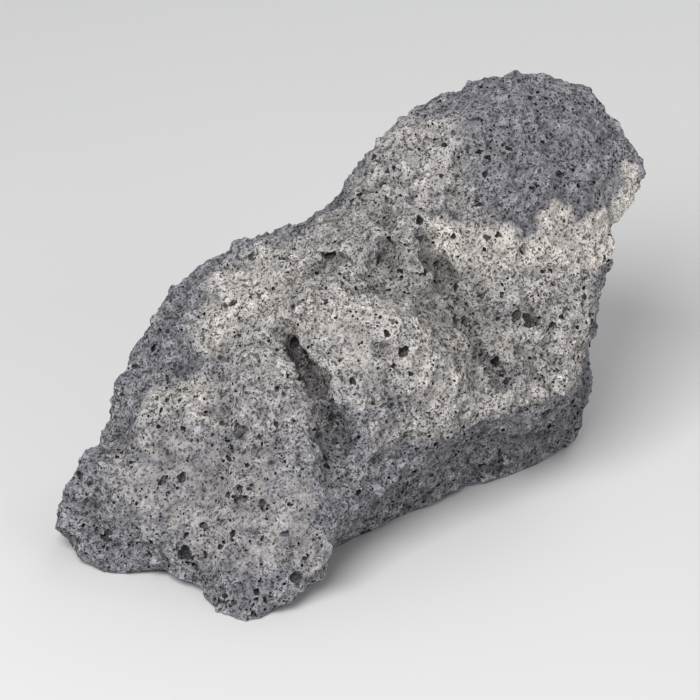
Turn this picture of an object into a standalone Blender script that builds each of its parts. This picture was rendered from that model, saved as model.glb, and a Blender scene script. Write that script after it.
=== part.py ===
"""Lava rock: one lump of vesicular lava, lying on its flat broken sole.

Its length runs along X, with the low nose at -X and the tall end at +X.
"""

import random

import bmesh
import bpy
from mathutils import Vector, noise

MM = 0.001

# Overall size of the finished lump.
LENGTH = 165 * MM
WIDTH = 96 * MM
HEIGHT = 91 * MM

# Three blocks run together into the lump. Each is the hull of its corners,
# given in millimetres along, across and up.
NOSE = {
    "toe": (-58, -33, 0),
    "toe_top": (-52, -29, 9),
    "toe_side": (-36, -30, 0),
    "toe_side_top": (-35, -36, 13),
    "gully_side": (-30, -27, 27),
    "gully_middle": (-27, -18, 39),
    "gully_head": (-22, -4, 50),
    "lobe_foot": (-73, 9, 0),
    "nose_low": (-74, 17, 3),
    "nose_tip": (-77, 24, 12),
    "nose_top": (-70, 26, 20),
    "edge_low": (-43, 34, 41),
    "edge_high": (-30, 36, 50),
    "back_foot": (-62, 38, 0),
    "back_inside": (-20, 42, 0),
    "under": (-22, -17, 0),
}
SADDLE = {
    "ridge_1": (-14, 0, 58),
    "ridge_2": (-6, -14, 55),
    "ridge_3": (6, -22, 47),
    "ridge_4": (14, -27, 33),
    "brow_1": (-19, -23, 14),
    "brow_2": (0, -27, 22),
    "brow_3": (17, -31, 29),
    "slope_foot": (-8, -12, 2),
    "sole_near": (16, -13, 0),
    "toe_root_1": (-46, -20, 0),
    "toe_root_2": (-33, -31, 18),
    "nose_root": (-44, 8, 24),
    "top_front": (20, 1, 71),
    "top_left": (2, 10, 67),
    "edge_1": (-40, 36, 42),
    "edge_2": (-34, 39, 48),
    "edge_3": (-18, 41, 55),
    "edge_4": (-8, 36, 60),
    "edge_5": (10, 28, 67),
    "back_nose": (-50, 44, 2),
    "back_low_1": (-28, 53, 0),
    "back_low_2": (5, 58, 0),
    "back_low_3": (48, 54, 0),
    "back_mid_1": (-24, 50, 30),
    "back_mid_2": (10, 56, 38),
    "back_mid_3": (34, 53, 32),
    "back_high": (24, 45, 52),
    "head_root_1": (50, -16, 0),
    "head_root_2": (50, -16, 40),
    "head_root_3": (50, 10, 70),
}
HEAD = {
    "saddle_root_1": (-2, -7, 0),
    "saddle_root_2": (-4, -13, 24),
    "saddle_root_3": (-2, -6, 48),
    "saddle_root_4": (6, 12, 62),
    "valley_3": (27, -25, 46),
    "valley_4": (26, -34, 31),
    "brow_end": (44, -36, 30),
    "end_low": (57, -25, 24),
    "flank": (47, -26, 46),
    "dome_low": (54, -20, 60),
    "dome": (52, -9, 74),
    "dome_back": (45, 11, 86),
    "edge_6": (24, 31, 73),
    "crest_start": (38, 31, 83),
    "crest_middle": (58, 26, 88),
    "crest_top": (73, 15, 91),
    "crest_end": (83, 8, 87),
    "end_shoulder": (89, 0, 80),
    "end_high": (92, -11, 72),
    "end_middle": (85, -12, 64),
    "end_inside": (90, 10, 68),
    "end_beam": (70, 14, 36),
    "end_foot": (60, -21, 2),
    "sole_far": (26, -18, 0),
    "sole_end": (42, -21, 0),
    "back_foot_1": (18, 50, 0),
    "back_foot_2": (44, 60, 0),
    "back_foot_3": (70, 44, 0),
    "back_foot_4": (70, 14, 3),
    "back_mid_4": (14, 52, 26),
    "back_mid_5": (46, 57, 46),
    "back_mid_6": (74, 34, 42),
    "back_high_1": (36, 45, 62),
    "back_high_2": (64, 38, 76),
}

# The joined blocks are remeshed at this grain and their edges worn round.
GRAIN = 1.6 * MM
WEAR_PASSES = 4
WEAR_PER_PASS = 0.5

# Strokes pressed into the surface: start, end, reach and depth in
# millimetres. A negative depth swells the surface instead.
DENTS = {
    "bay_under_the_nose": ((-66, -4, 2), (-60, -12, 2), 13, 6),
    "notch_by_the_nose": ((-59, 31, 30), (-57, 23, 27), 10, 3),
    "waist_at_the_end": ((63, -14, 32), (77, -8, 54), 19, 7),
    "gully_hole": ((-17, 4, 50), (-17, 0, 48), 6, 6),
    "gully_upper": ((-17, 0, 49), (-17, -8, 43), 8, 5),
    "gully_lower": ((-17, -8, 43), (-19, -18, 34), 9, 5),
    "gully_foot": ((-19, -18, 34), (-25, -26, 26), 9, 3),
    "gully_flank": ((-12, -8, 50), (-13, -21, 38), 9, -2),
    "central_ridge": ((-11, 1, 59), (4, -16, 53), 8, -3),
    "valley_head": ((11, 2, 66), (18, 4, 67), 8, 3),
    "valley_upper": ((7, -5, 62), (15, -11, 57), 7, 4),
    "valley_lower": ((18, -13, 55), (24, -26, 40), 8, 1.5),
    "crease_by_the_ridge": ((21, 13, 69), (11, 0, 64), 5, 3),
    "crease_in_the_valley": ((22, 0, 67), (24, -8, 58), 6, 3),
    "crease_at_the_top": ((-11, 15, 58), (1, 7, 64), 5, 3),
    "step_on_the_nose": ((-38, 3, 36), (-49, -7, 22), 6, 2),
    "hollow_in_the_lobe": ((-71, 14, 14), (-67, 8, 9), 7, 2),
    "hollow_in_the_back": ((-12, 60, 16), (26, 60, 38), 24, 5),
    "shelf_on_the_back": ((-38, 48, 20), (-4, 56, 30), 10, -3),
    "hollow_in_the_end": ((84, 14, 46), (74, 20, 20), 22, 4),
    "ledge_on_the_end": ((74, 40, 52), (82, 20, 50), 10, -3),
    "notch_in_the_end": ((80, 22, 28), (72, 30, 8), 11, 3),
}

# Roughness laid over the surface: lumps, chipped facets and grit, each with
# its size and the height that it adds. Lumps carry smaller lumps on them.
# All of it fades out towards the sole.
LUMP_SIZE = 34 * MM
LUMP_HEIGHT = 2.6 * MM
LUMP_FADE = 0.9
LUMP_SHRINK = 2.1
LUMP_LAYERS = 3
CHIP_SIZE = 13 * MM
CHIP_HEIGHT = 2.6 * MM
CHIP_MIDDLE = 0.4
GRIT_SIZE = 5 * MM
GRIT_HEIGHT = 0.8 * MM
CALM_UP_TO = 3.5 * MM

# Share of the remeshed triangles that the finished lump keeps.
KEPT_SHARE = 0.12

# The broken sole is a flat cut through the lump at this height.
SOLE_CUT = 1.2 * MM
SOLE_CUTTER_SIZE = 400 * MM
SHORTEST_EDGE = 0.1 * MM

# Gas holes: how many of each, the opening's half width and the depth.
PIT_SIZES = (
    (24, 2.1 * MM, 2.4 * MM),
    (60, 1.6 * MM, 1.8 * MM),
    (110, 1.1 * MM, 1.3 * MM),
)
PIT_LOWEST = 6 * MM
PIT_FLOOR_SHARE = 0.6
PIT_SEED = 7

# A hole needs edges this many times its half width around it, faces that
# turn no further from its own direction than this cosine, and neighbours
# that stand no more than this above it.
PIT_ROOM = 1.3
PIT_FACING = 0.85
PIT_HOLLOW = 0.8 * MM

STONE_GREY = (0.25, 0.24, 0.235, 1.0)
STONE_ROUGHNESS = 0.95


def add_block(bm, corners):
    """Add the hull of the given corners as a closed block."""
    points = [bm.verts.new(Vector(corner) * MM) for corner in corners.values()]
    hull = bmesh.ops.convex_hull(bm, input=points)
    inside = set(hull["geom_interior"]) | set(hull["geom_unused"])
    spare = [item for item in inside if isinstance(item, bmesh.types.BMVert)]
    bmesh.ops.delete(bm, geom=spare, context="VERTS")


def apply_modifier(obj, kind, settings):
    """Run one modifier on the object and keep its result as the mesh."""
    modifier = obj.modifiers.new(kind.title(), kind)
    for name, value in settings.items():
        setattr(modifier, name, value)
    view = bpy.context.evaluated_depsgraph_get()
    result = bpy.data.meshes.new_from_object(obj.evaluated_get(view))
    obj.modifiers.clear()
    obj.data = result


def strength_near(point, start, end, reach):
    """Return 1 on the stroke between two points, fading to 0 at its reach."""
    start = Vector(start) * MM
    along = Vector(end) * MM - start
    share = (point - start).dot(along) / along.length_squared
    away = (point - start - along * min(max(share, 0.0), 1.0)).length
    return (1.0 - min(away / (reach * MM), 1.0) ** 2) ** 2


def press_dents(bm):
    """Press each stroke straight in, against the way the surface faces there."""
    for start, end, reach, depth in DENTS.values():
        bm.normal_update()
        strengths = [strength_near(vert.co, start, end, reach) for vert in bm.verts]
        facing = Vector()
        for vert, strength in zip(bm.verts, strengths):
            facing += vert.normal * strength
        facing.normalize()
        for vert, strength in zip(bm.verts, strengths):
            vert.co -= facing * depth * MM * strength


def roughen(bm):
    """Break the smooth faces up into lumps, chipped facets and grit."""
    bm.normal_update()
    moves = {}
    for vert in bm.verts:
        lumps = noise.fractal(vert.co / LUMP_SIZE, LUMP_FADE, LUMP_SHRINK, LUMP_LAYERS) * LUMP_HEIGHT
        nearest = noise.voronoi(vert.co / CHIP_SIZE)[0]
        chips = (nearest[1] - nearest[0] - CHIP_MIDDLE) * CHIP_HEIGHT
        grit = noise.noise(vert.co / GRIT_SIZE) * GRIT_HEIGHT
        fade = min(max(vert.co.z / CALM_UP_TO, 0.0), 1.0)
        moves[vert] = vert.normal * (lumps + chips + grit) * fade
    for vert, move in moves.items():
        vert.co += move


def cut_sole(rock):
    """Cut the bottom of the lump off flat."""
    bm = bmesh.new()
    bmesh.ops.create_cube(bm, size=SOLE_CUTTER_SIZE)
    bmesh.ops.translate(bm, verts=bm.verts, vec=(0, 0, SOLE_CUT - SOLE_CUTTER_SIZE / 2))
    cutter = bpy.data.objects.new("sole_cutter", bpy.data.meshes.new("sole_cutter"))
    bm.to_mesh(cutter.data)
    bm.free()
    bpy.context.scene.collection.objects.link(cutter)
    apply_modifier(rock, "BOOLEAN", {"operation": "DIFFERENCE", "solver": "MANIFOLD", "object": cutter})
    bpy.data.objects.remove(cutter)


def fit_to_size(bm):
    """Scale the lump to its size, standing centred over the origin."""
    low = Vector([min(vert.co[axis] for vert in bm.verts) for axis in range(3)])
    high = Vector([max(vert.co[axis] for vert in bm.verts) for axis in range(3)])
    middle = Vector(((low.x + high.x) / 2, (low.y + high.y) / 2, low.z))
    size = Vector((LENGTH, WIDTH, HEIGHT))
    for vert in bm.verts:
        place = vert.co - middle
        for axis in range(3):
            place[axis] *= size[axis] / (high[axis] - low[axis])
        vert.co = place


def spots_for_pits(bm, count, half_width, rng):
    """Pick corners of the mesh with room around them for a hole."""
    spots = []
    taken = set()
    verts = [vert for vert in bm.verts if vert.co.z > PIT_LOWEST]
    rng.shuffle(verts)
    for vert in verts:
        ring = {edge.other_vert(vert) for edge in vert.link_edges}
        room = min(edge.calc_length() for edge in vert.link_edges)
        facing = min(vert.normal.dot(face.normal) for face in vert.link_faces)
        rise = max(vert.normal.dot(other.co - vert.co) for other in ring)
        if taken & ring or room < half_width * PIT_ROOM or facing < PIT_FACING or rise > PIT_HOLLOW:
            continue
        spots.append(vert)
        taken.add(vert)
        taken |= ring
        if len(spots) == count:
            break
    return spots


def sink_pits(bm):
    """Sink the larger gas holes, widest first, each with a smaller floor."""
    rng = random.Random(PIT_SEED)
    for count, half_width, depth in PIT_SIZES:
        bm.normal_update()
        spots = spots_for_pits(bm, count, half_width, rng)
        mouths = bmesh.ops.bevel(
            bm, geom=spots, affect="VERTICES", offset=half_width, segments=1, profile=0.5, material=-1
        )
        floors = bmesh.ops.extrude_discrete_faces(bm, faces=mouths["faces"])
        for floor in floors["faces"]:
            middle = floor.calc_center_median()
            bottom = middle - floor.normal * depth
            for vert in floor.verts:
                vert.co = bottom + (vert.co - middle) * PIT_FLOOR_SHARE
    bmesh.ops.triangulate(bm, faces=bm.faces)


def stone_material():
    """Return the dull grey finish of the bare lava."""
    material = bpy.data.materials.new("lava")
    material.use_nodes = True
    surface = material.node_tree.nodes["Principled BSDF"]
    surface.inputs["Base Color"].default_value = STONE_GREY
    surface.inputs["Roughness"].default_value = STONE_ROUGHNESS
    surface.inputs["Metallic"].default_value = 0.0
    return material


def main():
    for obj in list(bpy.data.objects):
        bpy.data.objects.remove(obj)
    rock = bpy.data.objects.new("lava_rock", bpy.data.meshes.new("lava_rock"))
    bpy.context.scene.collection.objects.link(rock)

    bm = bmesh.new()
    for corners in (NOSE, SADDLE, HEAD):
        add_block(bm, corners)
    bm.to_mesh(rock.data)
    apply_modifier(rock, "REMESH", {"mode": "VOXEL", "voxel_size": GRAIN})

    bm.clear()
    bm.from_mesh(rock.data)
    for _ in range(WEAR_PASSES):
        bmesh.ops.smooth_vert(
            bm, verts=bm.verts, factor=WEAR_PER_PASS, use_axis_x=True, use_axis_y=True, use_axis_z=True
        )
    press_dents(bm)
    roughen(bm)
    bm.to_mesh(rock.data)
    apply_modifier(rock, "DECIMATE", {"decimate_type": "COLLAPSE", "ratio": KEPT_SHARE})
    cut_sole(rock)

    bm.clear()
    bm.from_mesh(rock.data)
    bmesh.ops.dissolve_degenerate(bm, edges=bm.edges, dist=SHORTEST_EDGE)
    sink_pits(bm)
    fit_to_size(bm)
    bm.to_mesh(rock.data)
    bm.free()
    rock.data.materials.append(stone_material())


main()
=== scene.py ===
import math
import random

import bmesh
import bpy
from mathutils import Euler, Matrix, Vector, kdtree, noise


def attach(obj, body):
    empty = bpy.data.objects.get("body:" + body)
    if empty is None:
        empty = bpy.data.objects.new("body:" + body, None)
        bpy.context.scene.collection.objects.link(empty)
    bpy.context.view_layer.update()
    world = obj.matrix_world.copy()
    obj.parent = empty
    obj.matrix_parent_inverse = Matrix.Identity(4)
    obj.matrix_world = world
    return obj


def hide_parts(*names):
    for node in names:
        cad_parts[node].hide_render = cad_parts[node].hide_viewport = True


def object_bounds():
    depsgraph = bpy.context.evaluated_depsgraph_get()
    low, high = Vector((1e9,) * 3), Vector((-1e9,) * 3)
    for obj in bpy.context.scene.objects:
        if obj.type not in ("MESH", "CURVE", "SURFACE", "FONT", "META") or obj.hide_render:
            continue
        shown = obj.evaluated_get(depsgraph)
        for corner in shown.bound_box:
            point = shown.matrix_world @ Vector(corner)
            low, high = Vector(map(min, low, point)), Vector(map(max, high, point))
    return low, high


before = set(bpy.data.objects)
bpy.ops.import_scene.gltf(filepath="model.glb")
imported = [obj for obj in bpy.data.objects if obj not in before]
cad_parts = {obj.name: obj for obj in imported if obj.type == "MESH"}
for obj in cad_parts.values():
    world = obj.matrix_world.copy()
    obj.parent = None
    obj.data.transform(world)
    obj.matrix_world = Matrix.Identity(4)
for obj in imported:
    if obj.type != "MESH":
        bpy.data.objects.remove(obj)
cad_low, cad_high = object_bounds()


# ---------------------------------------------------------------------------
# The lump: one stone, broken out of the top of a cooled lava flow. It is
# bubbly dark lava with a paler, dusty crust left on its weathered faces, and
# it is all one piece, so chips, creases and gas holes are cut in one skin.
# ---------------------------------------------------------------------------
MM = 0.001
WELD = 0.001 * MM
SKIN_GRAIN = 1.05 * MM
SKIN_WEAR_PASSES = 4
SKIN_WEAR = 0.5


def evaluated_copy(obj):
    """Return the object's mesh with its modifiers run."""
    view = bpy.context.evaluated_depsgraph_get()
    return bpy.data.meshes.new_from_object(obj.evaluated_get(view))


def run_modifier(obj, kind, settings):
    """Run one modifier on the object and keep the result as its mesh."""
    modifier = obj.modifiers.new(kind.title(), kind)
    for name, value in settings.items():
        setattr(modifier, name, value)
    result = evaluated_copy(obj)
    obj.modifiers.clear()
    obj.data = result


def worn_places(obj, passes):
    """Return where each corner of the object would lie if it were worn smooth."""
    modifier = obj.modifiers.new("Wear", "SMOOTH")
    modifier.factor = SKIN_WEAR
    modifier.iterations = passes
    worn = evaluated_copy(obj)
    obj.modifiers.clear()
    return [vert.co.copy() for vert in worn.vertices]


lump = bpy.data.objects.new("lava_lump", bpy.data.meshes.new("lava_lump"))
bpy.context.scene.collection.objects.link(lump)
skin = bmesh.new()
skin.from_mesh(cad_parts["lava_rock"].data)
bmesh.ops.remove_doubles(skin, verts=skin.verts, dist=WELD)
skin.to_mesh(lump.data)
run_modifier(lump, "REMESH", {"mode": "VOXEL", "voxel_size": SKIN_GRAIN})
run_modifier(lump, "SMOOTH", {"factor": SKIN_WEAR, "iterations": SKIN_WEAR_PASSES})

# Where the pale crust is left, and how thick: 0 is bare lava, and 1 or over
# is the thickest. Strokes laid on in turn, each with its start, its end, its
# reach and the width of its soft edge in millimetres, then the amount.
CRUST = {
    "front": ((-18, -10, 52), (30, -30, 52), 30, 12, 0.58),
    "upper_left_face": ((-31, 13, 50), (-18, 9, 57), 14, 7, 0.95),
    "saddle": ((-3, 0, 65), (30, 4, 79), 19, 9, 0.58),
    "left_bulge": ((-54, 4, 34), (-46, -6, 36), 11, 7, 1.1),
    "nose": ((-62, -4, 25), (-49, -40, 18), 24, 14, 0.38),
    "middle": ((-40, -6, 42), (-39, -21, 37), 13, 9, 0.40),
    "ridge": ((-21, -8, 59), (2, -34, 44), 13, 6, 0.75),
    "ridge_wall": ((-20, -12, 50), (-18, -32, 40), 6, 4, 0.65),
    "plateau": ((26, -30, 55), (40, -40, 42), 15, 8, 0.62),
    "dome": ((54, -10, 82), (66, -16, 78), 24, 9, 0.0),
    "dome_back": ((58, 12, 86), (75, 0, 84), 26, 12, 0.0),
    "dome_lobe": ((38, -17, 72), (42, -22, 70), 8, 3, 0.0),
    "shoulder_1": ((20, -15, 66), (28, -20, 62), 6.5, 1.5, 1.0),
    "shoulder_2": ((28, -21, 62), (40, -27, 59), 5.5, 1.5, 1.1),
    "shoulder_3": ((44, -27, 60), (49, -24, 65), 5.5, 1.5, 1.1),
    "shoulder_4": ((50, -29, 58), (62, -29, 59), 7.5, 1.5, 1.0),
    "end_face": ((72, -24, 60), (78, -8, 52), 11, 6, 0.6),
    "end_rim_1": ((64, -29, 59), (74, -26, 65), 4.0, 1.5, 1.0),
    "end_rim_2": ((74, -26, 65), (76, -22, 71), 2.5, 1.0, 1.1),
    "lobe": ((-80, 8, 10), (-80, -3, 6), 16, 8, 0.05),
    "left_side": ((-33, 24, 50), (-56, 18, 34), 13, 8, 0.1),
    "toe_foot": ((-66, -30, 3), (-53, -48, 4), 10, 6, 0.1),
    "under_the_brow": ((-31, -40, 17), (15, -42, 17), 13, 6, 0.05),
    "under_the_plateau": ((15, -42, 17), (54, -38, 12), 13, 6, 0.05),
    "brow_left": ((-19, -37, 33), (4, -41, 31), 6, 4, 0.5),
    "brow_right": ((4, -41, 32), (38, -43, 34), 7, 4, 0.6),
    "gully": ((-24, -9, 47), (-25, -27, 41), 3, 2, 0.3),
    "gully_foot": ((-27, -30, 34), (-31, -36, 26), 6, 5, 0.3),
}

# Painted shade: where the gullies, valleys, hollows and underside are darkened, laid in the same way.
SHADE_STROKES = {
    "gully_hole": ((-23, -8, 48), (-24, -11, 46), 3.5, 2.5, 0.9),
    "gully_1": ((-24, -12, 46), (-24, -22, 42), 4, 3, 1.1),
    "gully_2": ((-24, -22, 42), (-26, -30, 35), 4.5, 3.5, 1.1),
    "gully_foot": ((-26, -30, 34), (-31, -36, 27), 9, 7, 0.45),
    "arch": ((-17, 3, 57), (-7, -3, 62), 2, 1.5, 0.9),
    "dip": ((6, -11, 61), (13, -18, 58), 2, 1.5, 0.9),
    "valley_1": ((15, -11, 66), (18, -18, 59), 2.5, 2, 1.1),
    "valley_2": ((18, -18, 59), (16, -29, 50), 4.5, 3.5, 1.1),
    "valley_3": ((16, -30, 48), (19, -40, 35), 3.5, 3, 1.0),
    "valley_wall": ((11, -13, 62), (12, -34, 46), 9, 7, 0.55),
    "valley_low": ((20, -26, 55), (24, -40, 38), 9, 7, 0.55),
    "under_the_end": ((34, -38, 16), (58, -30, 10), 13, 9, 0.4),
    "ridge_top": ((-21, -8, 59), (-4, -16, 60), 9, 6, 0.35),
    "saddle": ((15, 3, 69), (6, -8, 62), 2.5, 2, 0.9),
    "saddle_floor": ((12, 8, 70), (-2, -4, 63), 9, 7, 0.3),
    "plateau": ((29, -36, 50), (33, -36, 48), 5, 3, 0.5),
    "hollow": ((2, -28, 52), (8, -30, 49), 5, 4, 0.4),
}

# Where it is worn calm and fine, or, below 0, left crumbly.
CALM = {
    "nose": ((-60, -8, 24), (-50, -38, 18), 20, 12, 1.5),
    "dome": ((50, -10, 82), (66, -16, 78), 24, 8, 0.6),
    "shoulder": ((24, -18, 64), (60, -28, 60), 7, 5, 0.6),
    "ridge_face": ((-16, -24, 52), (0, -36, 42), 9, 6, 0.5),
    "upper_left_face": ((-28, 12, 52), (-20, 8, 56), 10, 6, 0.4),
    "ridge_top": ((-21, -8, 59), (-6, -14, 60), 8, 4, -1.0),
}

# Creases and fissures in the skin, the amount being millimetres deep.
CREASES = {
    "gully_1": ((-23, -9, 47), (-24, -18, 43), 2.0, 2.0, 1.8),
    "gully_2": ((-24, -18, 43), (-25, -26, 40), 2.0, 2.0, 1.8),
    "gully_3": ((-25, -26, 40), (-27, -31, 33), 2.5, 2.5, 1.6),
    "arch_1": ((-19, 5, 56), (-11, 1, 61), 1.8, 1.8, 1.6),
    "arch_2": ((-11, 1, 61), (-3, -6, 63), 1.8, 1.8, 1.5),
    "dip": ((5, -10, 61), (15, -19, 58), 1.8, 1.8, 1.6),
    "valley_1": ((16, -9, 66), (19, -17, 60), 2.0, 2.0, 1.8),
    "valley_2": ((18, -18, 59), (15, -29, 50), 2.5, 2.5, 1.8),
    "valley_3": ((15, -30, 48), (19, -41, 34), 2.5, 2.5, 1.6),
    "saddle": ((15, 3, 69), (7, -9, 62), 1.8, 1.8, 1.5),
    "nose_1": ((-45, -9, 35), (-48, -18, 31), 2.5, 2.5, 1.0),
    "nose_2": ((-48, -18, 31), (-56, -20, 20), 3.0, 3.0, 1.0),
    "bay": ((-70, -12, 8), (-66, -24, 6), 4.0, 4.0, 1.0),
}

# Ragged edges stray by waves of two sizes, each with how far it reaches.
RAGGED = ((5.0 * MM, 2.0 * MM), (1.8 * MM, 0.9 * MM))
RAGGED_SEED = 5
noise.seed_set(RAGGED_SEED)


def ragged(point):
    """Return a point strayed a little, to make ragged edges of straight ones."""
    strayed = point.copy()
    for size, stray in RAGGED:
        strayed += noise.noise_vector(point / size) * stray
    return strayed


def strength_near(point, start, end, reach, edge):
    """Return 1 on the stroke between two points, fading to 0 at its reach."""
    start = Vector(start) * MM
    along = Vector(end) * MM - start
    share = (point - start).dot(along) / along.length_squared
    away = (point - start - along * min(max(share, 0.0), 1.0)).length
    return min(max((reach * MM - away) / (edge * MM), 0.0), 1.0)


def laid_at(strokes, point):
    """Return how much of the strokes, laid in turn, there is at a point."""
    point = ragged(point)
    amount = 0.0
    for start, end, reach, edge, wanted in strokes.values():
        amount += (wanted - amount) * strength_near(point, start, end, reach, edge)
    return amount


def creases_at(point):
    """Return how deep the creases are at a point."""
    point = ragged(point)
    return max(
        depth * MM * strength_near(point, start, end, reach, edge)
        for start, end, reach, edge, depth in CREASES.values()
    )


def facets(point, size):
    """Return a pattern of broken cells: 0 in the cracks, up to 1 inside a cell."""
    nearest = noise.voronoi(point / size)[0]
    return nearest[1] - nearest[0]


# Broken facets, splinters and grit: size and height of each. They are lower
# where the skin is worn calm, and die away towards the sole it lies on.
CHIP_SIZE = 9.0 * MM
CHIP_HEIGHT = 1.1 * MM
SPLINTER_SIZE = 4.5 * MM
SPLINTER_HEIGHT = 1.1 * MM
FACET_MIDDLE = 0.3
GRIT_SIZE = 2.4 * MM
GRIT_HEIGHT = 0.95 * MM
GRIT_FADING = 0.7
GRIT_FINER = 2.0
GRIT_LAYERS = 3
CALM_SMOOTHS = 0.5
FLAT_SOLE_FADE = 3.0 * MM

# The skin is made finer along the creases first, so that they can be narrow.
skin.clear()
skin.from_mesh(lump.data)
creased = [edge for edge in skin.edges if all(creases_at(vert.co) > 0 for vert in edge.verts)]
bmesh.ops.subdivide_edges(skin, edges=creased, cuts=1, use_grid_fill=True)
skin.normal_update()
moves = []
for vert in skin.verts:
    chips = (facets(vert.co, CHIP_SIZE) - FACET_MIDDLE) * CHIP_HEIGHT
    splinters = (facets(vert.co, SPLINTER_SIZE) - FACET_MIDDLE) * SPLINTER_HEIGHT
    grit = noise.fractal(vert.co / GRIT_SIZE, GRIT_FADING, GRIT_FINER, GRIT_LAYERS) * GRIT_HEIGHT
    rough = 1.0 - CALM_SMOOTHS * laid_at(CALM, vert.co)
    above_sole = min(max(vert.co.z / FLAT_SOLE_FADE, 0.0), 1.0)
    rise = (chips + splinters + grit) * rough - creases_at(vert.co)
    moves.append(vert.normal * rise * above_sole)
for vert, move in zip(skin.verts, moves):
    vert.co += move


def fit_to(bm, low, high):
    """Stretch the skin so that it just fills a box."""
    old_low = [min(vert.co[axis] for vert in bm.verts) for axis in range(3)]
    old_high = [max(vert.co[axis] for vert in bm.verts) for axis in range(3)]
    for vert in bm.verts:
        for axis in range(3):
            share = (vert.co[axis] - old_low[axis]) / (old_high[axis] - old_low[axis])
            vert.co[axis] = low[axis] + share * (high[axis] - low[axis])


fit_to(skin, cad_low, cad_high)
skin.to_mesh(lump.data)

# Relief, from 0 in a hollow to 1 on a ridge: how far each point of the skin
# stands above worn copies of it, for small shapes and for broad ones. Each
# has its passes of wear, and the height that counts as all of a ridge.
SMALL_RELIEF = (25, 1.2 * MM)
BROAD_RELIEF = (300, 3.0 * MM)
skin.normal_update()
readings = {
    "crust": [laid_at(CRUST, vert.co) for vert in skin.verts],
    "painted_shade": [laid_at(SHADE_STROKES, vert.co) for vert in skin.verts],
    "calm": [laid_at(CALM, vert.co) for vert in skin.verts],
}
for name, (passes, span) in {"small_relief": SMALL_RELIEF, "broad_relief": BROAD_RELIEF}.items():
    worn = worn_places(lump, passes)
    readings[name] = [
        min(max(0.5 + 0.5 * (vert.co - place).dot(vert.normal) / span, 0.0), 1.0)
        for vert, place in zip(skin.verts, worn)
    ]
lookup = kdtree.KDTree(len(skin.verts))
for vert in skin.verts:
    lookup.insert(vert.co, vert.index)
lookup.balance()

# The widest gas holes, each with its place and radius in millimetres.
WIDE_HOLES = {
    "plateau_1": ((30, -37, 49), 2.3),
    "plateau_2": ((27, -37, 50), 1.7),
    "middle": ((-45, -17, 34), 1.9),
    "lobe": ((-76, -3, 9), 2.4),
    "bay": ((-67, -21, 8), 2.2),
    "toe": ((-51, -46, 9), 1.8),
    "nose_1": ((-53, -28, 23), 1.4),
    "nose_2": ((-59, -11, 23), 1.5),
    "nose_3": ((-61, -22, 16), 1.3),
    "nose_4": ((-49, -40, 18), 1.1),
    "nose_5": ((-62, -8, 22), 1.4),
    "upper_left": ((-28, 10, 52), 1.3),
    "gully_1": ((-23, -9, 47), 1.9),
    "gully_2": ((-24, -14, 46), 1.1),
    "gully_3": ((-24, -22, 42), 1.2),
    "gully_4": ((-25, -28, 41), 1.6),
    "gully_5": ((-26, -29, 36), 1.3),
    "gully_6": ((-27, -31, 32), 1.0),
    "valley_1": ((17, -16, 60), 1.0),
    "valley_2": ((18, -22, 56), 0.9),
    "valley_3": ((16, -29, 50), 1.1),
    "valley_4": ((17, -36, 41), 0.9),
    "by_the_valley": ((22, -28, 54), 1.1),
}

# All the others: how many in each round, their radius from least to most, the detail of the ball that
# cuts them, and how dark they are inside, which is partly their dark glass and partly painted shade.
# Holes of one round keep clear of each other, and rounds may run together.
HOLE_ROUNDS = (
    (40, 1.2 * MM, 2.0 * MM, 2, 0.6),
    (240, 0.80 * MM, 1.20 * MM, 2, 0.8),
    (360, 0.50 * MM, 0.85 * MM, 1, 0.9),
    (480, 0.38 * MM, 0.70 * MM, 1, 1.0),
    (480, 0.35 * MM, 0.65 * MM, 1, 1.0),
    (480, 0.35 * MM, 0.60 * MM, 1, 1.0),
    (480, 0.35 * MM, 0.60 * MM, 1, 1.0),
    (480, 0.35 * MM, 0.60 * MM, 1, 1.0),
)
WIDE_HOLE_DETAIL = 3
WIDE_HOLE_DARKNESS = 0.6
WIDE_HOLE_SUNK = 0.2

# How the balls are shaped and sunk, as shares of their radius.
HOLE_SEED = 11
HOLE_SQUASH = (0.6, 1.1)
HOLE_RAGGED = 0.7
HOLE_RAGS = 1.3
HOLE_SUNK = (0.1, 0.5)

# How holes gather: in clusters of about this size, and fewer of them in the
# crust and on the sole.
HOLE_GAP = 0.15 * MM
HOLE_CLUSTER = 9 * MM
HOLE_CROWDING = (0.5, 1.2)
LEAST_CROWD = 0.1
CRUST_HOLES = 0.6
SOLE_HOLES = 0.25
SOLE_UP_TO = 1.5 * MM
rng = random.Random(HOLE_SEED)


def hole_spots(faces, count, least, most):
    """Pick places for a round of holes, and give each a radius."""
    cell = 2 * most + HOLE_GAP
    taken = {}
    spots = []
    while len(spots) < count:
        face = rng.choice(faces)
        radius = least + (most - least) * rng.random() ** 2
        middle = face.calc_center_median() - face.normal * radius * rng.uniform(*HOLE_SUNK)
        crust = readings["crust"][face.verts[0].index]
        crowd = HOLE_CROWDING[0] + HOLE_CROWDING[1] * noise.noise(middle / HOLE_CLUSTER)
        crowd = min(max(crowd, LEAST_CROWD), 1.0)
        if middle.z < SOLE_UP_TO:
            crowd *= SOLE_HOLES
        if rng.random() > (1.0 - crust * (1.0 - CRUST_HOLES)) * crowd:
            continue
        home = tuple(math.floor(value / cell) for value in middle)
        near = [
            spot
            for x in (-1, 0, 1)
            for y in (-1, 0, 1)
            for z in (-1, 0, 1)
            for spot in taken.get((home[0] + x, home[1] + y, home[2] + z), ())
        ]
        if any((middle - other).length < radius + reach + HOLE_GAP for other, reach in near):
            continue
        taken.setdefault(home, []).append((middle, radius))
        spots.append((middle, radius))
    return spots


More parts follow.
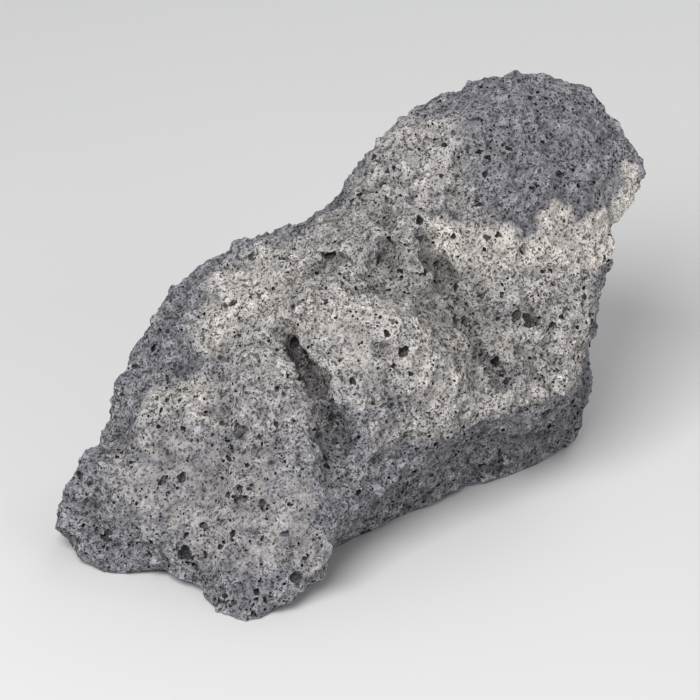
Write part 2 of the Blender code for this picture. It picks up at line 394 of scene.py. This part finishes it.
def hole_cutters(spots, detail, darkness):
    """Return one mesh of squashed, ragged balls that cut a round of holes."""
    cutters = bmesh.new()
    for middle, radius in spots:
        turn = Euler([rng.uniform(0, math.tau) for _ in range(3)]).to_matrix().to_4x4()
        squash = Matrix.Diagonal([rng.uniform(*HOLE_SQUASH) for _ in range(3)]).to_4x4()
        place = Matrix.Translation(middle) @ turn @ squash
        ball = bmesh.ops.create_icosphere(cutters, subdivisions=detail, radius=radius, matrix=place)
        for vert in ball["verts"]:
            stray = noise.noise(vert.co / radius * HOLE_RAGS) * HOLE_RAGGED
            vert.co += (vert.co - middle) * stray
    inside = cutters.faces.layers.float.new("hole")
    for face in cutters.faces:
        face[inside] = darkness
    return cutters


wide_spots = []
corners = list(skin.verts)
for place, radius in WIDE_HOLES.values():
    vert = corners[lookup.find(Vector(place) * MM)[1]]
    wide_spots.append((vert.co - vert.normal * radius * MM * WIDE_HOLE_SUNK, radius * MM))
rounds = [hole_cutters([spot], WIDE_HOLE_DETAIL, WIDE_HOLE_DARKNESS) for spot in wide_spots]
faces = list(skin.faces)
for count, least, most, detail, darkness in HOLE_ROUNDS:
    rounds.append(hole_cutters(hole_spots(faces, count, least, most), detail, darkness))

inside = skin.faces.layers.float.new("hole")
for face in skin.faces:
    face[inside] = 0.0
skin.to_mesh(lump.data)
skin.free()

for cutters in rounds:
    cutter = bpy.data.objects.new("holes", bpy.data.meshes.new("holes"))
    cutters.to_mesh(cutter.data)
    cutters.free()
    bpy.context.scene.collection.objects.link(cutter)
    run_modifier(lump, "BOOLEAN", {"operation": "DIFFERENCE", "solver": "MANIFOLD", "object": cutter})
    bpy.data.objects.remove(cutter)


def drop_folds(bm):
    """Delete faces that lie back to back on the same three corners."""
    sharing = {}
    for face in bm.faces:
        sharing.setdefault(frozenset(face.verts), []).append(face)
    folds = [face for faces in sharing.values() if len(faces) > 1 for face in faces]
    bmesh.ops.delete(bm, geom=folds, context="FACES")


def drop_loose_parts(bm):
    """Delete what is not joined to the top: buried holes and cut-off chips."""
    top = max(bm.verts, key=lambda vert: vert.co.z)
    joined = {top}
    waiting = [top]
    while waiting:
        vert = waiting.pop()
        beside = [edge.other_vert(vert) for edge in vert.link_edges]
        waiting += [other for other in beside if other not in joined]
        joined.update(beside)
    loose = [vert for vert in bm.verts if vert not in joined]
    bmesh.ops.delete(bm, geom=loose, context="VERTS")


# The cuts leave slivers round every hole. Their shortest edges are closed up,
# pass by pass, where that keeps the skin whole and turns no face over.
SHORT_EDGE = 0.22 * MM
CLOSING_PASSES = 8
LEAST_FACING = 0.5


def stays_facing(vert, other, place):
    """Return whether the faces round a corner still face out once it is moved."""
    for face in vert.link_faces:
        if other in face.verts:
            continue
        first, second, third = (place if corner == vert else corner.co for corner in face.verts)
        out = (second - first).cross(third - first)
        if out.dot(face.normal) < LEAST_FACING * out.length:
            return False
    return True


def close_short_edges(bm):
    """Merge the ends of short edges, no two of which are next to each other."""
    bm.normal_update()
    short = [(edge.calc_length(), *edge.verts) for edge in bm.edges]
    short = [item for item in short if item[0] < SHORT_EDGE]
    short.sort(key=lambda item: (item[0], *item[1].co))
    merged = {}
    busy = set()
    for _, first, second in short:
        if first in busy or second in busy:
            continue
        around = (*first.link_faces, *second.link_faces)
        if not all(edge.is_manifold for face in around for edge in face.edges):
            continue
        round_first = {edge.other_vert(first) for edge in first.link_edges}
        round_second = {edge.other_vert(second) for edge in second.link_edges}
        middle = (first.co + second.co) / 2
        if len(round_first & round_second) != 2:
            continue
        if stays_facing(first, second, middle) and stays_facing(second, first, middle):
            merged[first] = second
            second.co = middle
            busy |= round_first | round_second
    bmesh.ops.weld_verts(bm, targetmap=merged)


skin = bmesh.new()
skin.from_mesh(lump.data)
bmesh.ops.triangulate(skin, faces=skin.faces)
drop_folds(skin)
drop_loose_parts(skin)
for _ in range(CLOSING_PASSES):
    close_short_edges(skin)
skin.to_mesh(lump.data)
skin.free()

for name, values in readings.items():
    layer = lump.data.attributes.new(name, "FLOAT", "POINT")
    for vert in lump.data.vertices:
        layer.data[vert.index].value = values[lookup.find(vert.co)[1]]

# It is shaded smooth, but for edges that turn by more than this.
SHARP_EDGE = math.radians(38)
lump.data.shade_smooth()
lump.data.set_sharp_from_angle(angle=SHARP_EDGE)

# The finish: dull lava, granular and grey where it is bare, paler and warmer where the crust is left,
# and near black inside the gas holes, partly their dark glass and partly painted shade. Shade and
# highlight are also painted in from the relief and the shade strokes.
ROUGHNESS = 0.93
SHINE = 0.25
stone = bpy.data.materials.new("lava")
stone.use_nodes = True
tree = stone.node_tree
surface = tree.nodes["Principled BSDF"]
surface.inputs["Roughness"].default_value = ROUGHNESS
surface.inputs["Specular IOR Level"].default_value = SHINE


def add_node(kind, inputs=None, **settings):
    """Add a node, with its settings and its inputs, as values or as links."""
    node = tree.nodes.new(kind)
    for name, value in settings.items():
        setattr(node, name, value)
    for name, value in (inputs or {}).items():
        if isinstance(value, bpy.types.NodeSocket):
            tree.links.new(value, node.inputs[name])
        else:
            node.inputs[name].default_value = value
    return node


def maths(operation, first, second=0.0):
    """Return the result of one sum on sockets or numbers."""
    return add_node("ShaderNodeMath", {0: first, 1: second}, operation=operation).outputs[0]


def ramp(value, start, end, low=0.0, high=1.0):
    """Return the value carried from one range to another, and kept in it."""
    inputs = {"Value": value, "From Min": start, "From Max": end, "To Min": low, "To Max": high}
    return add_node("ShaderNodeMapRange", inputs, clamp=True).outputs["Result"]


def between(factor, first, second):
    """Return a number part of the way from one to another."""
    inputs = {"Factor": factor, "A": first, "B": second}
    return add_node("ShaderNodeMix", inputs, data_type="FLOAT").outputs["Result"]


def blend(factor, first, second):
    """Return two colours mixed."""
    node = add_node("ShaderNodeMix", data_type="RGBA")
    for name, value in {"Factor_Float": factor, "A_Color": first, "B_Color": second}.items():
        socket = next(item for item in node.inputs if item.identifier == name)
        if isinstance(value, bpy.types.NodeSocket):
            tree.links.new(value, socket)
        else:
            socket.default_value = value
    return next(item for item in node.outputs if item.identifier == "Result_Color")


def vector_maths(operation, inputs):
    """Return the result of one sum on colours or vectors."""
    return add_node("ShaderNodeVectorMath", inputs, operation=operation).outputs["Vector"]


def scaled(vector, factor):
    """Return a colour or a vector made larger or smaller by a factor."""
    return vector_maths("SCALE", {0: vector, "Scale": factor})


def attribute(name):
    """Return one of the lump's own attributes."""
    return add_node("ShaderNodeAttribute", attribute_name=name).outputs["Fac"]


def grey(red, green, blue):
    """Return a colour given in 0 to 255 steps as a screen shows it."""
    return tuple(((value / 255 + 0.055) / 1.055) ** 2.4 for value in (red, green, blue)) + (1.0,)


place = add_node("ShaderNodeTexCoord").outputs["Object"]


def cloud(size, detail=2.0, roughness=0.5):
    """Return soft noise with lumps of the given size."""
    inputs = {"Vector": place, "Scale": 1 / size, "Detail": detail, "Roughness": roughness}
    return add_node("ShaderNodeTexNoise", inputs).outputs["Fac"]


# Pores lie in a slightly crumpled space, so none of them is round.
CRUMPLE_SIZE = 1.3 * MM
CRUMPLE = 0.9 * MM
crumple = add_node("ShaderNodeTexNoise", {"Vector": place, "Scale": 1 / CRUMPLE_SIZE, "Detail": 2.0})
crumple = vector_maths("SUBTRACT", {0: crumple.outputs["Color"], 1: (0.5, 0.5, 0.5)})
crumpled = vector_maths("ADD", {0: place, 1: scaled(crumple, CRUMPLE)})

# A pore's least width and depth, as shares of the most, and its soft rim.
NARROWEST = 0.4
SHALLOWEST = 0.45
PORE_RIM = (-0.02, 0.16)


def pinholes(size, share, widest):
    """Return how deep small ragged pores are: 0 outside them, 1 at their bottom."""
    inputs = {"Vector": crumpled, "Scale": 1 / size, "Randomness": 1.0}
    pattern = add_node("ShaderNodeTexVoronoi", inputs)
    chance = add_node("ShaderNodeSeparateColor", {"Color": pattern.outputs["Color"]})
    width = maths("MULTIPLY", ramp(chance.outputs["Red"], 0.0, 1.0, NARROWEST, 1.0), widest)
    wanted = maths("LESS_THAN", chance.outputs["Green"], share)
    depth = ramp(maths("SUBTRACT", width, pattern.outputs["Distance"]), *PORE_RIM)
    depth = maths("MULTIPLY", depth, ramp(chance.outputs["Blue"], 0.0, 1.0, SHALLOWEST, 1.0))
    return maths("MULTIPLY", depth, wanted)


SLATE_DARK = grey(106, 105, 111)
SLATE_LIGHT = grey(153, 152, 158)
CRUST_PALE = grey(199, 193, 187)
# Near black for the holes and pores: partly their dark glass, partly painted shade.
HOLE_DARK_AND_SHADE = grey(38, 37, 42)

# How much crust there is, broken up at its edge by noise of two sizes.
WOBBLE_SIZE = 6 * MM
FRINGE_SIZE = 1.6 * MM
FRINGE = 1.2
CRUST_SPAN = (0.1, 1.0)
wobble = maths("SUBTRACT", cloud(WOBBLE_SIZE, detail=3), 0.5)
fringe = maths("SUBTRACT", cloud(FRINGE_SIZE, detail=3, roughness=0.7), 0.5)
fringe = maths("MULTIPLY", fringe, FRINGE)
crusted = maths("ADD", maths("ADD", attribute("crust"), wobble), fringe)
crusted = ramp(crusted, *CRUST_SPAN)

SLATE_SIZE = 3 * MM
SLATE_SPAN = (0.35, 0.65)
slate = ramp(cloud(SLATE_SIZE, detail=5, roughness=0.75), *SLATE_SPAN)
slate = blend(slate, SLATE_DARK, SLATE_LIGHT)
colour = blend(crusted, slate, CRUST_PALE)

# Grains: flecks that catch the light, and ragged pits with a pale rim round each. The dark in the
# pits is partly their own and partly painted shade, and the pale rim is a painted highlight. A span
# is where one begins and where it is full, and a tone of 1 changes nothing.
GRAIN_SIZE = 0.5 * MM
GRAIN_SPAN = (0.3, 0.7)
GRAIN_TONES = (0.6, 1.5)
SPECK_SIZE = 1.0 * MM
PIT_SPAN = (0.46, 0.36)
PIT_DARK_AND_SHADE = 0.35
FLECK_SPAN = (0.54, 0.64)
FLECK_TONE = 1.25
RIM_INNER_SPAN = (0.43, 0.46)
RIM_OUTER_SPAN = (0.51, 0.47)
RIM_HIGHLIGHT_TONES = (0.94, 1.16)
grain = cloud(GRAIN_SIZE, detail=3, roughness=0.75)
specks = cloud(SPECK_SIZE, detail=2, roughness=0.6)
pits = ramp(specks, *PIT_SPAN)
flecks = ramp(specks, *FLECK_SPAN)
rim_highlights = maths("MULTIPLY", ramp(specks, *RIM_INNER_SPAN), ramp(specks, *RIM_OUTER_SPAN))
tone = ramp(grain, *GRAIN_SPAN, *GRAIN_TONES)
tone = maths("MULTIPLY", tone, ramp(pits, 0.0, 1.0, 1.0, PIT_DARK_AND_SHADE))
tone = maths("MULTIPLY", tone, ramp(rim_highlights, 0.0, 1.0, *RIM_HIGHLIGHT_TONES))
tone = maths("MULTIPLY", tone, ramp(flecks, 0.0, 1.0, 1.0, FLECK_TONE))

# Grains fade where it is worn calm and in stray patches, by a share that is
# none while it is below 0, so they are at their strongest where it is crumbly.
CALM_PATCH_SIZE = 7 * MM
CALM_PATCH_SPAN = (0.38, 0.62)
CALM_PATCH_RANGE = (-0.6, 0.9)
CALM_SPAN = (-1.0, 1.8)
CALM_FADES = (-0.45, 0.8)
patches = ramp(cloud(CALM_PATCH_SIZE, detail=2), *CALM_PATCH_SPAN, *CALM_PATCH_RANGE)
faded = ramp(maths("ADD", attribute("calm"), patches), *CALM_SPAN, *CALM_FADES)
colour = scaled(colour, between(faded, tone, 1.0))

# Stains: soft patches, darker and lighter.
STAIN_SIZE = 4 * MM
STAIN_SPAN = (0.3, 0.7)
STAIN_TONES = (0.76, 1.18)
stains = ramp(cloud(STAIN_SIZE, detail=4, roughness=0.65), *STAIN_SPAN, *STAIN_TONES)
colour = scaled(colour, stains)

# Pores too fine to cut: the size of cell each kind lies in, and its greatest
# width as a share of that. They are closest together where the lava is bare,
# and the widest kind is hardly found in the crust.
FINE_PORES = ((1.7 * MM, 0.36), (1.05 * MM, 0.40), (0.7 * MM, 0.40))
FINE_PORE_SHARE = (0.80, 0.45)
WIDE_PORES = (2.6 * MM, 0.34)
WIDE_PORE_SPAN = (0.0, 0.8)
WIDE_PORE_SHARE = (0.7, 0.15)
fine_share = ramp(crusted, 0.0, 1.0, *FINE_PORE_SHARE)
wide_share = ramp(crusted, *WIDE_PORE_SPAN, *WIDE_PORE_SHARE)
pores = pinholes(WIDE_PORES[0], wide_share, WIDE_PORES[1])
for size, widest in FINE_PORES:
    pores = maths("MAXIMUM", pores, pinholes(size, fine_share, widest))
# Fine pores are near black: partly the dark glass in them, partly painted shade, as they are only
# bump.
colour = blend(pores, colour, HOLE_DARK_AND_SHADE)

# Painted light from the relief: painted shade in the hollows, a painted highlight on the ridges. The
# shade strokes add more painted shade, and gas holes are darkest.
SMALL_RELIEF_SPAN = (0.1, 0.9)
SMALL_RELIEF_LIGHT_AND_SHADE = (0.62, 1.25)
BROAD_RELIEF_SPAN = (0.1, 0.6)
BROAD_RELIEF_LIGHT_AND_SHADE = (0.75, 1.03)
PAINTED_SHADE_TONE = 0.38
small_relief = ramp(attribute("small_relief"), *SMALL_RELIEF_SPAN, *SMALL_RELIEF_LIGHT_AND_SHADE)
broad_relief = ramp(attribute("broad_relief"), *BROAD_RELIEF_SPAN, *BROAD_RELIEF_LIGHT_AND_SHADE)
# Painted shade from the shade strokes, darkest along the gullies and valleys.
painted_shade_factor = ramp(maths("ADD", attribute("painted_shade"), fringe), 0.0, 1.0, 1.0, PAINTED_SHADE_TONE)
colour = scaled(scaled(scaled(colour, small_relief), broad_relief), painted_shade_factor)
# Inside the cut holes, near black: partly their dark glass, partly painted shade.
colour = blend(attribute("hole"), colour, HOLE_DARK_AND_SHADE)
tree.links.new(colour, surface.inputs["Base Color"])

# The finest relief is bump: how far each pattern stands out, in millimetres.
LUMP_SIZE = 2.2 * MM
STANDS_OUT = (
    (grain, 0.30),
    (flecks, 0.15),
    (pits, -0.30),
    (cloud(LUMP_SIZE, detail=4, roughness=0.6), 1.1),
    (crusted, 0.25),
    (pores, -0.5),
)
height = 0.0
for pattern, rise in STANDS_OUT:
    height = maths("ADD", height, maths("MULTIPLY", pattern, rise))
bump = add_node("ShaderNodeBump", {"Height": height, "Distance": MM, "Strength": 1.0})
tree.links.new(bump.outputs["Normal"], surface.inputs["Normal"])
lump.data.materials.clear()
lump.data.materials.append(stone)

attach(lump, "root")
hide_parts("lava_rock")


# ---------------------------------------------------------------------------
# The stand it is shown on: a plain pale floor, a camera and soft lamps.
# ---------------------------------------------------------------------------
FLOOR_RADIUS = 6.0
FLOOR_SIDES = 64
FLOOR_COLOUR = (0.62, 0.62, 0.62, 1.0)
FLOOR_ROUGHNESS = 0.8
disc = bmesh.new()
bmesh.ops.create_circle(disc, cap_ends=True, segments=FLOOR_SIDES, radius=FLOOR_RADIUS)
floor = bpy.data.objects.new("floor", bpy.data.meshes.new("floor"))
disc.to_mesh(floor.data)
disc.free()
bpy.context.scene.collection.objects.link(floor)
paint = bpy.data.materials.new("pale_floor")
paint.use_nodes = True
paint.node_tree.nodes["Principled BSDF"].inputs["Base Color"].default_value = FLOOR_COLOUR
paint.node_tree.nodes["Principled BSDF"].inputs["Roughness"].default_value = FLOOR_ROUGHNESS
floor.data.materials.append(paint)


def direction(azimuth, elevation):
    """Return the way from the object to a viewer, azimuth 0 being at -Y."""
    turn = math.radians(azimuth)
    rise = math.radians(elevation)
    return Vector((
        math.sin(turn) * math.cos(rise),
        -math.cos(turn) * math.cos(rise),
        math.sin(rise),
    ))


AIM = Vector((-7.2, -11.8, 41.3)) * MM
CAMERA_AZIMUTH = -38
CAMERA_ELEVATION = 30
CAMERA_AWAY = 0.9
SENSOR = 36.0
FRAME_WIDE = 0.175
camera = bpy.data.objects.new("camera", bpy.data.cameras.new("camera"))
camera.data.sensor_width = SENSOR
camera.data.lens = SENSOR * CAMERA_AWAY / FRAME_WIDE
camera.location = AIM + direction(CAMERA_AZIMUTH, CAMERA_ELEVATION) * CAMERA_AWAY
camera.rotation_euler = (AIM - camera.location).to_track_quat("-Z", "Y").to_euler()
bpy.context.scene.collection.objects.link(camera)
bpy.context.scene.camera = camera

# Each lamp's azimuth, elevation, distance, size and power.
LAMPS = {
    "key": (-68, 50, 0.9, 0.6, 9.5),
    "fill": (20, 15, 1.1, 0.9, 4.5),
    "back": (115, 35, 1.1, 0.8, 4.0),
}
for name, (azimuth, elevation, away, size, power) in LAMPS.items():
    lamp = bpy.data.objects.new(name, bpy.data.lights.new(name, "AREA"))
    lamp.data.size = size
    lamp.data.energy = power
    lamp.location = AIM + direction(azimuth, elevation) * away
    lamp.rotation_euler = (AIM - lamp.location).to_track_quat("-Z", "Y").to_euler()
    bpy.context.scene.collection.objects.link(lamp)

SKY_COLOUR = (0.80, 0.81, 0.83, 1.0)
SKY_STRENGTH = 0.32
world = bpy.data.worlds.new("studio")
world.use_nodes = True
world.node_tree.nodes["Background"].inputs["Color"].default_value = SKY_COLOUR
world.node_tree.nodes["Background"].inputs["Strength"].default_value = SKY_STRENGTH
bpy.context.scene.world = world
bpy.context.scene.view_settings.view_transform = "Standard"
